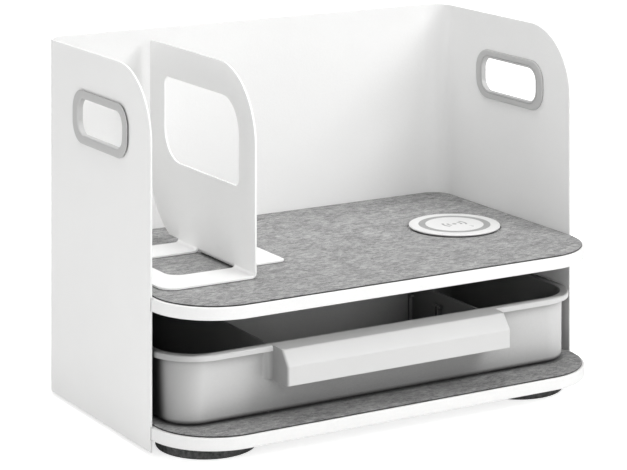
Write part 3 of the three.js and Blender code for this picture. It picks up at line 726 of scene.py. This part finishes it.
for place in ("front_left", "front_right", "rear_left", "rear_right"):
    node = f"foot_{place}"
    lo, hi = corners_of(node)
    radius = (hi.x - lo.x) / 2
    x, y = (lo.x + hi.x) / 2, (lo.y + hi.y) / 2
    profile = soft_profile(
        [
            (FOOT_HEAD_HOLE, lo.z, 0.5),
            (radius, lo.z, 1.6),
            (radius, hi.z, 0.6),
            (FOOT_SCREW_HOLE, hi.z, 0.2),
            (FOOT_SCREW_HOLE, FOOT_HEAD_SEAT, 0.2),
            (FOOT_HEAD_HOLE, FOOT_HEAD_SEAT, 0.2),
        ]
    )
    foot = weighted(turned(f"desk_foot_{place}", profile, x, y))
    finished(foot, "frame", "foot_rubber", [node])

# ---- Charging pad -------------------------------------------------------------------------------------

PAD_TOP = CHARGER_HI.z
PAD_SEAT = corners_of("upper_shelf")[1].z + SEAT
RING_IN, RING_OUT = 25.2, 31.0
PAD_PLATE, PAD_BARREL_WALL = 1.8, 1.8
GROOVE = 0.6
SIGN_DOT, SIGN_ARCS = 2.0, (6.0, 10.2)
SIGN_LINE, SIGN_THICK = 1.8, 0.2


def make_charger():
    """The cover, cut away under its rim so that it shades the felt round it, and the ring let into it."""
    groove = PAD_TOP - GROOVE
    under = PAD_TOP - PAD_PLATE
    barrel = PAD_RADIUS - 3.0
    bottom = CHARGER_LO.z
    felt_top = corners_of("upper_felt")[1].z
    profile = outline(
        [
            (0.0, under),
            (barrel - PAD_BARREL_WALL, under, 0.4),
            (barrel - PAD_BARREL_WALL, bottom, 0.2),
            (barrel, bottom, 0.4),
            (barrel, PAD_SEAT, 0.05),
            (PAD_RADIUS - 2.2, PAD_SEAT, 0.3),
            (PAD_RADIUS - 2.2, felt_top + 0.1, 0.3),
            (PAD_RADIUS, felt_top + 1.0, 0.3),
            (PAD_RADIUS, PAD_TOP, 1.1),
            (RING_OUT, PAD_TOP, 0.25),
            (RING_OUT, groove, 0.1),
            (RING_IN, groove, 0.1),
            (RING_IN, PAD_TOP, 0.25),
            (0.0, PAD_TOP),
        ],
        18.0,
    )
    cover = turned("charging_pad_cover", profile, CHARGER.x, CHARGER.y, 128, closed=False)
    finished(weighted(cover), "frame", "white_plastic", ["charger_cover"])
    lo, hi = corners_of("charger_ring")
    inlay = soft_profile(
        [
            (RING_IN + SEAT, lo.z, 0.05),
            (RING_OUT - SEAT, lo.z, 0.05),
            (RING_OUT - SEAT, hi.z - 0.1, 0.12),
            (RING_IN + SEAT, hi.z - 0.1, 0.12),
        ]
    )
    ring = turned("charging_pad_ring", inlay, CHARGER.x, CHARGER.y, 128)
    finished(weighted(ring), "frame", "ring_plastic", ["charger_ring"])


def make_mark():
    """A plain sign in the middle of the pad: a dot between two pairs of arcs."""
    bands = [circle(CHARGER.x, CHARGER.y, SIGN_DOT, 32)]
    for radius in SIGN_ARCS:
        for way in (0.0, math.pi):
            turns = [way + math.radians(a) for a in range(-36, 37, 6)]
            ring = [(radius + SIGN_LINE / 2, a) for a in turns]
            ring += [(radius - SIGN_LINE / 2, a) for a in reversed(turns)]
            points = [(CHARGER.x + r * math.cos(a), CHARGER.y + r * math.sin(a)) for r, a in ring]
            bands.append([Vector(p) for p in points])
    whole = bmesh.new()
    for band in bands:
        bm = plate(band, [], PAD_TOP - SIGN_THICK / 2, PAD_TOP + SIGN_THICK / 2, 0.0)
        mesh = bpy.data.meshes.new("band")
        bm.to_mesh(mesh)
        bm.free()
        whole.from_mesh(mesh)
        bpy.data.meshes.remove(mesh)
    mark = to_object("charging_pad_sign", whole)
    finished(weighted(mark), "frame", "ring_plastic")


make_charger()
make_mark()

# ---- Bookend: one sheet, its tongue cut from the base and bent the other way --------------------------

BOOK_LO, BOOK_HI = corners_of("bookend")
BOOK_X = -105.0
BOOK_BEND = 4.5
BOOK_BASE_BACK = 65.5
BOOK_ARC = BOOK_BEND * math.pi / 2
BOOK_BACK_LOW = 81.0
BOOK_BACK_RISE = 22.0
BOOK_SWEEP = 60.0
BOOK_BACK_CORNER = 4.0
BOOK_BASE_CORNER = 13.0
BOOK_EDGE = 0.2
TONGUE_FRONT, TONGUE_BACK = -31.7, 30.2
TONGUE_CORNER = 5.0
SLOT_FRONT, SLOT_BACK = -32.5, 31.0
SLOT_REACH = 162.0
SLOT_CORNER = 12.0
FOLD_CORNER = 0.3
WINDOW_MARGIN, WINDOW_HEIGHT = 27.0, 69.5
WINDOW_TIGHT, WINDOW_WIDE = 6.0, 28.0
FOLD_TOP = BOOK_LO.z + BOOK_BEND


def developed(reach):
    """The height on the flat sheet of a point that ends up at that reach from the upright's face."""
    return FOLD_TOP - BOOK_ARC - (reach - BOOK_BEND)


TONGUE_TIP = developed(BOOK_HI.x - BOOK_X)


def bent_bookend(y, w, t):
    """Where a point of the flat sheet goes: y along it, w up, t across from its left face."""
    if w >= FOLD_TOP:
        return BOOK_X + t, y, w
    tongue = SLOT_FRONT + 0.4 < y < SLOT_BACK - 0.4 and w > TONGUE_TIP - FIT
    way = 1.0 if tongue else -1.0
    reach = BOOK_BEND - t if tongue else BOOK_BEND - SHEET + t
    centre = BOOK_X + BOOK_BEND if tongue else BOOK_X + SHEET - BOOK_BEND
    angle = min((FOLD_TOP - w) / BOOK_BEND, math.pi / 2)
    onward = max(0.0, FOLD_TOP - BOOK_ARC - w)
    x = centre - way * reach * math.cos(angle) + way * onward
    return x, y, FOLD_TOP - reach * math.sin(angle)


def bookend_outline():
    """The flat sheet's outline. Its back edge sweeps up from the fold in a wide curve."""
    front, back, top = BOOK_LO.y, BOOK_HI.y, BOOK_HI.z
    base_tip = developed(BOOK_X + SHEET - BOOK_LO.x)
    outer = outline(
        [
            (front, base_tip, BOOK_BASE_CORNER),
            (BOOK_BASE_BACK, base_tip, BOOK_BASE_CORNER),
            (BOOK_BASE_BACK, FOLD_TOP),
            (BOOK_BACK_LOW, FOLD_TOP),
            (back, BOOK_LO.z + BOOK_BACK_RISE),
            (back, top, BOOK_BACK_CORNER),
            (front, top, BOOK_SWEEP),
        ],
        3.0,
    )
    curve = outline([(front, BOOK_LO.z), (back, BOOK_LO.z, BOOK_SWEEP), (back, top)], 3.0)[1:-1]
    curve = [p for p in curve if p.y > FOLD_TOP + 0.05]
    start = next(i for i, p in enumerate(outer) if abs(p.x - BOOK_BACK_LOW) < 1e-6)
    return outer[:start] + [Vector((curve[0].x - 0.6, FOLD_TOP))] + curve + outer[start + 2 :]


def make_bookend():
    front, back, top = BOOK_LO.y, BOOK_HI.y, BOOK_HI.z
    left, right = front + WINDOW_MARGIN, back - WINDOW_MARGIN
    low, high = top - WINDOW_MARGIN - WINDOW_HEIGHT, top - WINDOW_MARGIN
    window = outline(
        [
            (left, low, WINDOW_TIGHT),
            (right, low, WINDOW_WIDE),
            (right, high, WINDOW_TIGHT),
            (left, high, WINDOW_WIDE),
        ],
        4.0,
    )
    slot_tip = developed(BOOK_X + SHEET + SLOT_REACH)
    slot = outline(
        [
            (SLOT_FRONT, FOLD_TOP, FOLD_CORNER),
            (SLOT_FRONT, slot_tip, SLOT_CORNER),
            (SLOT_BACK, slot_tip, SLOT_CORNER),
            (SLOT_BACK, FOLD_TOP, FOLD_CORNER),
            (TONGUE_BACK, FOLD_TOP, FOLD_CORNER),
            (TONGUE_BACK, TONGUE_TIP, TONGUE_CORNER),
            (TONGUE_FRONT, TONGUE_TIP, TONGUE_CORNER),
            (TONGUE_FRONT, FOLD_TOP, FOLD_CORNER),
        ],
        6.0,
    )
    bm = plate(bookend_outline(), [window, slot], 0.0, SHEET, BOOK_EDGE)
    slice_at(bm, 1, [FOLD_TOP - BOOK_ARC * k / 10 for k in range(11)])
    remap(bm, bent_bookend)
    obj = weighted(to_object("bookend_sheet", bm))
    return finished(obj, "bookend", "powder_coat", ["bookend"], "bookend_coat_painted_shade")


make_bookend()

# ---- Tray ---------------------------------------------------------------------------------------------

TRAY_LO, TRAY_HI = corners_of("tray_body")
TRAY_FRONT = -103.0
TRAY_X = (TRAY_LO.x + TRAY_HI.x) / 2
TRAY_Y = (TRAY_FRONT + TRAY_HI.y) / 2
TRAY_HALF = ((TRAY_HI.x - TRAY_LO.x) / 2, (TRAY_HI.y - TRAY_FRONT) / 2)
TRAY_TOP = TRAY_HI.z
TRAY_BOTTOM = TRAY_LO.z
TRAY_CORNER = 40.5
TRAY_FLOOR_CORNER = 27.0
OVERHANG = 5.7
WALL = 1.8
LEAN = 2.4
LIP = 4.5
FLOOR = 2.5
TRAY_EDGE = 0.8
PARTITIONS = (-108.5, 89.0)
SUNK = 1.0


def tray_loop(inset, z, extra=0.0):
    """The tub's outline at a height. Towards the floor it leans in and its corners tighten."""
    down = (TRAY_TOP - z) / (TRAY_TOP - TRAY_BOTTOM)
    corner = TRAY_CORNER - inset
    corner += down * (TRAY_FLOOR_CORNER - (TRAY_CORNER - OVERHANG))
    inwards = inset + down * LEAN + extra
    a, b = TRAY_HALF[0] - inwards, TRAY_HALF[1] - inwards
    loop = rounded(TRAY_X, TRAY_Y, 2 * a, 2 * b, max(corner - extra, 3.0), 4.5)
    return [(p.x, p.y, z) for p in loop]


def rim_loop(inset, z):
    a, b = TRAY_HALF[0] - inset, TRAY_HALF[1] - inset
    loop = rounded(TRAY_X, TRAY_Y, 2 * a, 2 * b, TRAY_CORNER - inset, 4.5)
    return [(p.x, p.y, z) for p in loop]


def make_tub():
    """The open tub with its rolled rim, from the middle of the floor's underside round to its top."""
    stations = []
    turns = [math.pi / 2 * k / 6 for k in range(7)]
    outer_round, inner_round, rim_round, mouth_round = 5.0, 3.5, 1.5, 0.8
    for a in turns:
        z = TRAY_BOTTOM + outer_round * (1 - math.cos(a))
        stations.append(tray_loop(OVERHANG, z, outer_round * (1 - math.sin(a))))
    top = TRAY_TOP - LIP
    stations.append(tray_loop(OVERHANG, top - 1.2))
    stations.append(tray_loop(OVERHANG - 0.35, top - 0.35))
    stations.append(rim_loop(OVERHANG - 1.2, top))
    stations.append(rim_loop(0.5, top))
    stations.append(rim_loop(0.12, top + 0.15))
    stations.append(rim_loop(0.0, top + 0.6))
    for a in turns:
        drop = rim_round * (1 - math.sin(a))
        stations.append(rim_loop(rim_round * (1 - math.cos(a)), TRAY_TOP - drop))
    inner = OVERHANG + WALL
    for a in turns:
        drop = mouth_round * (1 - math.cos(a))
        stations.append(rim_loop(inner - mouth_round * (1 - math.sin(a)), TRAY_TOP - drop))
    floor = TRAY_BOTTOM + FLOOR
    stations.append(tray_loop(inner, TRAY_TOP - 3.0))
    for a in reversed(turns):
        z = floor + inner_round * (1 - math.cos(a))
        stations.append(tray_loop(inner, z, inner_round * (1 - math.sin(a))))
    return to_object("tray_moulding", swept(stations), 1.0)


def wall_front(z):
    """Where the outer face of the tub's front wall is at a height."""
    return TRAY_FRONT + OVERHANG + LEAN * (TRAY_TOP - z) / (TRAY_TOP - TRAY_BOTTOM)


PULL_LEFT, PULL_RIGHT = -109.0, 100.0
PULL_BOTTOM, PULL_NOSE, PULL_SHOULDER = 53.8, 68.7, -116.5
PULL_SKIN = 2.2
PULL_CORNER = 2.4
PULL_ROOT = 8.0
PULL_WING = 20.0


def pull_solid(name, inset, bottom, sunk, wing):
    """The pull's outside, or the hollow in it: an outline seen from above, lofted up the pull's profile.

    Its back is sunk into the tub's wall, and wings inside the wall take the fillets at its two roots.
    """
    top = TRAY_TOP - inset
    profile = outline(
        [
            (0.0, bottom),
            (TRAY_LO.y + inset, bottom, 1.0),
            (TRAY_LO.y + inset, PULL_NOSE - inset / 2, 2.5),
            (PULL_SHOULDER + inset / 2, top, 2.5),
            (0.0, top),
        ],
        15.0,
    )
    left, right = PULL_LEFT + inset, PULL_RIGHT - inset
    corner = PULL_CORNER - inset
    stations = []
    for front, z in profile[1:-1]:
        root = wall_front(z) + 0.15
        back = wall_front(z) + sunk
        plan = [(left, front, corner), (right, front, corner)]
        if wing:
            plan = [(left - wing, root), (left, root, PULL_ROOT), *plan]
            plan += [(right, root, PULL_ROOT), (right + wing, root)]
            plan += [(right + wing, back), (left - wing, back)]
        else:
            plan += [(right, back), (left, back)]
        stations.append([(p.x, p.y, z) for p in outline(plan, 9.0)])
    return to_object(name, swept(stations), 1.0)


def tray_block(name, low, high, edge):
    """A block between two corners."""
    return to_object(name, plate(rectangle(low, high), [], low[2], high[2], edge), 1.0)


PARTITION_TOP = 79.8
PARTITION_HALF, PARTITION_EDGE = 1.0, 0.5
DIVIDER_EDGE = 0.6


def partition(x):
    """A fixed wall across the tray, sunk into the floor and the front and back walls."""
    floor = TRAY_BOTTOM + FLOOR
    front = TRAY_FRONT + OVERHANG + SUNK
    back = TRAY_HI.y - OVERHANG - SUNK
    points = [
        Vector((front + LEAN, floor - SUNK)),
        Vector((back - LEAN, floor - SUNK)),
        Vector((back, PARTITION_TOP)),
        Vector((front, PARTITION_TOP)),
    ]
    bm = plate(points, [], x - PARTITION_HALF, x + PARTITION_HALF, PARTITION_EDGE)
    return to_object("partition", remap(bm, lambda u, v, w: (w, u, v)), 1.0)


MERGE = 1e-3
RIB_ROWS = (-37.5, 7.0, 51.5)
RIB_GAP = 1.3
RIB_WIDTH, RIB_HEAD_WIDTH, RIB_DEPTH = 2.4, 4.7, 3.0
RIB_TOP = 70.0
RIB_EDGE, RIB_HEAD_EDGE = 0.3, 0.4


def guide_ribs(x, way):
    """The pairs of ribs on one partition that hold the cross divider, each with a wider head."""
    near, far = sorted((x + way * PARTITION_HALF / 2, x + way * (PARTITION_HALF + RIB_DEPTH)))
    floor = TRAY_BOTTOM + FLOOR
    ribs = []
    for y in RIB_ROWS:
        for side in (-1, 1):
            start = y + side * RIB_GAP
            a, b = sorted((start, start + side * RIB_WIDTH))
            low, high = (near, a, floor - SUNK / 2), (far, b, RIB_TOP - 1.0)
            ribs.append(tray_block("rib", low, high, RIB_EDGE))
            a, b = sorted((start, start + side * RIB_HEAD_WIDTH))
            low, high = (near, a, RIB_TOP - 2.0), (far, b, RIB_TOP)
            ribs.append(tray_block("rib_head", low, high, RIB_HEAD_EDGE))
    return ribs


def make_tray():
    tray = make_tub()
    pull = pull_solid("pull", 0.0, PULL_BOTTOM, WALL * 0.6, PULL_WING)
    hollow = pull_solid("pull_hollow", PULL_SKIN, PULL_BOTTOM - 4.0, WALL * 0.3, 0.0)
    additions = [combine(pull, hollow, "DIFFERENCE")]
    for x, way in zip(PARTITIONS, (1, -1)):
        additions.append(partition(x))
        additions += guide_ribs(x, way)
    for piece in additions:
        combine(tray, piece, "UNION")
    bm = bmesh.new()
    bm.from_mesh(tray.data)
    bmesh.ops.remove_doubles(bm, verts=bm.verts, dist=MERGE)
    bmesh.ops.dissolve_degenerate(bm, edges=bm.edges, dist=MERGE)
    bmesh.ops.scale(bm, vec=(MM, MM, MM), verts=bm.verts)
    bm.to_mesh(tray.data)
    bm.free()
    tray.data.shade_smooth()
    return finished(softened(tray, TRAY_EDGE), "tray", "tray_plastic", ["tray_body"])


make_tray()

lo, hi = corners_of("tray_divider")
divider = to_object("tray_cross_divider", plate(rectangle(lo, hi), [], lo.z, hi.z, DIVIDER_EDGE))
finished(weighted(divider), "divider", "tray_plastic", ["tray_divider"])

# ---- CAD nodes that stay: softened edges and their own finish -----------------------------------------

SLOTS = {row["node"]: row["material_slot"] for row in frame["record"]["subparts"]}

for name, node in frame["nodes"].items():
    if node.hide_render:
        continue
    node.data.materials.clear()
    node.data.materials.append(MATERIALS[SLOTS[name]])
    node.data.shade_smooth()
    softened(node, 0.25, 40.0, 2)

# ---- Stage --------------------------------------------------------------------------------------------

FLOOR_LEVEL = 0.85
FLOOR_GLOW = 0.7
FLOOR_RADIUS = 40.0
AMBIENT = 0.31

# Disc lamps: name, place, target, size, watts.
LAMPS = [
    ("key", (1.3, -1.9, 1.9), (0, 0, 0.15), 1.6, 38.0),
    ("top", (0.0, 0.1, 2.4), (0, 0, 0.1), 2.0, 44.0),
    ("front", (-0.3, -2.8, 0.7), (0, 0, 0.15), 1.6, 19.0),
    ("side", (-2.4, 0.1, 0.5), (0, 0, 0.15), 1.4, 13.5),
]


def stage_material():
    """A pale sweep that glows a little, for the camera only, so that it stays paler than the object."""
    finish = Finish("studio_floor")
    tint = finish.ranged(finish.noise(3.0, 2.0), 0.985, 1.0)
    colour = finish.mixed(1.0, grey(FLOOR_LEVEL), tint, "MULTIPLY")
    seen = finish.node("ShaderNodeLightPath").outputs["Is Camera Ray"]
    glow = finish.maths("MULTIPLY", seen, FLOOR_GLOW)
    white = (1.0, 1.0, 1.0)
    return finish.done(Base_Color=colour, Roughness=0.9, Emission_Color=white, Emission_Strength=glow)


def make_floor():
    bm = bmesh.new()
    bmesh.ops.create_circle(bm, cap_ends=True, segments=96, radius=FLOOR_RADIUS)
    mesh = bpy.data.meshes.new("studio_floor")
    bm.to_mesh(mesh)
    bm.free()
    floor = bpy.data.objects.new("studio_floor", mesh)
    bpy.context.scene.collection.objects.link(floor)
    mesh.materials.append(stage_material())


def add_light(name, place, target, size, power):
    data = bpy.data.lights.new(name, "AREA")
    data.shape = "DISK"
    data.size = size
    data.energy = power
    obj = bpy.data.objects.new(name, data)
    obj.location = place
    obj.rotation_euler = (Vector(target) - Vector(place)).to_track_quat("-Z", "Y").to_euler()
    obj.visible_camera = False
    bpy.context.scene.collection.objects.link(obj)


def make_world():
    world = bpy.data.worlds.new("studio")
    world.use_nodes = True
    background = world.node_tree.nodes["Background"]
    background.inputs["Color"].default_value = (1.0, 1.0, 1.0, 1.0)
    background.inputs["Strength"].default_value = AMBIENT
    bpy.context.scene.world = world


# The camera looks level, and the picture is shifted down, so that upright edges stay upright. The shift
# belongs to this one place: it fades to nothing over CAMERA_FADE metres when the camera is moved away.
CAMERA_PLACE = (-1.0369, -1.7376, 0.6138)
CAMERA_TURN = -30.53
CAMERA_LENS = 139.0
CAMERA_SHIFT = -0.9198
CAMERA_FADE = 0.02


def make_camera():
    data = bpy.data.cameras.new("camera")
    data.lens = CAMERA_LENS
    data.sensor_width = 36.0
    camera = bpy.data.objects.new("camera", data)
    camera.location = CAMERA_PLACE
    camera.rotation_euler = (math.radians(90), 0.0, math.radians(CAMERA_TURN))
    bpy.context.scene.collection.objects.link(camera)
    home = bpy.data.objects.new("camera_home", None)
    home.location = CAMERA_PLACE
    bpy.context.scene.collection.objects.link(home)
    curve = data.driver_add("shift_y")
    for modifier in list(curve.modifiers):
        curve.modifiers.remove(modifier)
    curve.driver.type = "SUM"
    away = curve.driver.variables.new()
    away.type = "LOC_DIFF"
    away.targets[0].id = camera
    away.targets[1].id = home
    for distance, shift in ((0.0, CAMERA_SHIFT), (CAMERA_FADE, 0.0)):
        curve.keyframe_points.insert(distance, shift).interpolation = "LINEAR"
    curve.extrapolation = "CONSTANT"
    bpy.context.scene.camera = camera


make_floor()
make_world()
for lamp in LAMPS:
    add_light(*lamp)
make_camera()
bpy.context.scene.view_settings.view_transform = "Standard"
